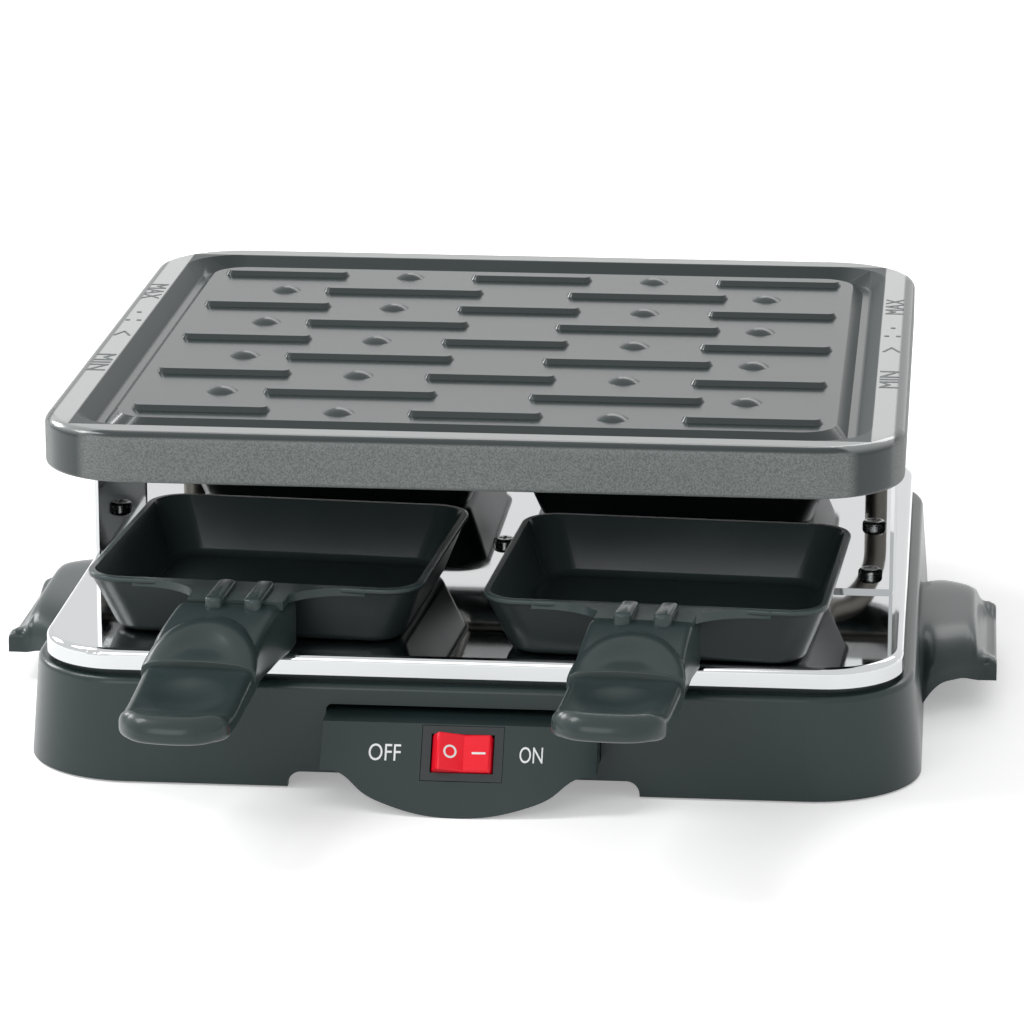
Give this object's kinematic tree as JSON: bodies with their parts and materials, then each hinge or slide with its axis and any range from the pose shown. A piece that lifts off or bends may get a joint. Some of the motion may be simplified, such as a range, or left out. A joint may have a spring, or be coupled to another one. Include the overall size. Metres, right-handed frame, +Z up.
{
  "type": "raclette grill",
  "caption": "Table-top raclette grill: ribbed cast plate on a mirror tray, heated from above the pans, with handled pans, side grips and a rocker switch.",
  "frame": {"origin": "middle of the whole object at the height of the table it stands on", "axes": "+Z up, the control panel at -Y, +X to the right of someone facing the panel"},
  "size_m": [0.2768, 0.3932, 0.0946],
  "materials": {
    "base_plastic": "satin moulded plastic, very dark grey",
    "cover_plastic": "matt moulded plastic",
    "feet": "soft matt rubber",
    "steel_screws": "nickel-plated steel",
    "switch_black": "glossy black plastic",
    "switch_red": "glossy red plastic",
    "brass_tabs": "plain brass",
    "handle_plastic": "satin phenolic plastic, very dark grey",
    "bright_steel": "mirror-bright stainless sheet",
    "element_steel": "heat-dulled steel sheath",
    "ceramic": "glazed white ceramic",
    "coated_casting": "fine-textured non-stick coating on cast aluminium",
    "gland_rubber": "black rubber",
    "wire_sleeve": "white glass-fibre sleeve",
    "pan_enamel": "dark non-stick coating on pressed steel"
  },
  "bodies": {
    "base": {"base_housing": "base_plastic", "control_panel": "base_plastic", "bottom_cover": "cover_plastic", "rubber_feet": "feet", "cover_screws": "steel_screws", "switch_body": "switch_black", "switch_tabs": "brass_tabs", "side_handle_right": "handle_plastic", "side_handle_left": "handle_plastic", "tray": "bright_steel", "bracket_right": "bright_steel", "bracket_left": "bright_steel", "tray_screws": "steel_screws", "heating_element": "element_steel", "element_bushes": "ceramic", "element_pins": "steel_screws", "element_rack": "element_steel", "cable_gland": "gland_rubber", "cord_clamp": "cover_plastic", "terminal_block": "ceramic", "block_screws": "brass_tabs", "thermal_cutoff": "element_steel", "wires": "wire_sleeve"},
    "rocker": {"switch_rocker": "switch_red"},
    "plate": {"grill_plate": "coated_casting"},
    "pan_front_left": {"pan_front_left": "pan_enamel", "pan_handle_front_left": "handle_plastic", "pan_screw_front_left": "steel_screws"},
    "pan_front_right": {"pan_front_right": "pan_enamel", "pan_handle_front_right": "handle_plastic", "pan_screw_front_right": "steel_screws"},
    "pan_rear_left": {"pan_rear_left": "pan_enamel", "pan_handle_rear_left": "handle_plastic", "pan_screw_rear_left": "steel_screws"},
    "pan_rear_right": {"pan_rear_right": "pan_enamel", "pan_handle_rear_right": "handle_plastic", "pan_screw_rear_right": "steel_screws"}
  },
  "joints": [
    {"name": "switch_rock", "type": "hinge", "parent": "base", "child": "rocker", "pos_m": [0.001, -0.12407, 0.01337], "axis": [0, 0.5446, 0.8387], "range_deg": [-18, 0]},
    {"name": "plate_lift", "type": "slide", "parent": "base", "child": "plate", "axis": [0, 0, 1], "range_m": [0, 0.09]},
    {"name": "pan_front_left_slide", "type": "slide", "parent": "base", "child": "pan_front_left", "axis": [-0.068, -0.9977, 0], "range_m": [0, 0.13]},
    {"name": "pan_front_right_slide", "type": "slide", "parent": "base", "child": "pan_front_right", "axis": [-0.0576, -0.9983, 0], "range_m": [0, 0.13]},
    {"name": "pan_rear_left_slide", "type": "slide", "parent": "base", "child": "pan_rear_left", "axis": [0, 1, 0], "range_m": [0, 0.13]},
    {"name": "pan_rear_right_slide", "type": "slide", "parent": "base", "child": "pan_rear_right", "axis": [0, 1, 0], "range_m": [0, 0.13]}
  ]
}
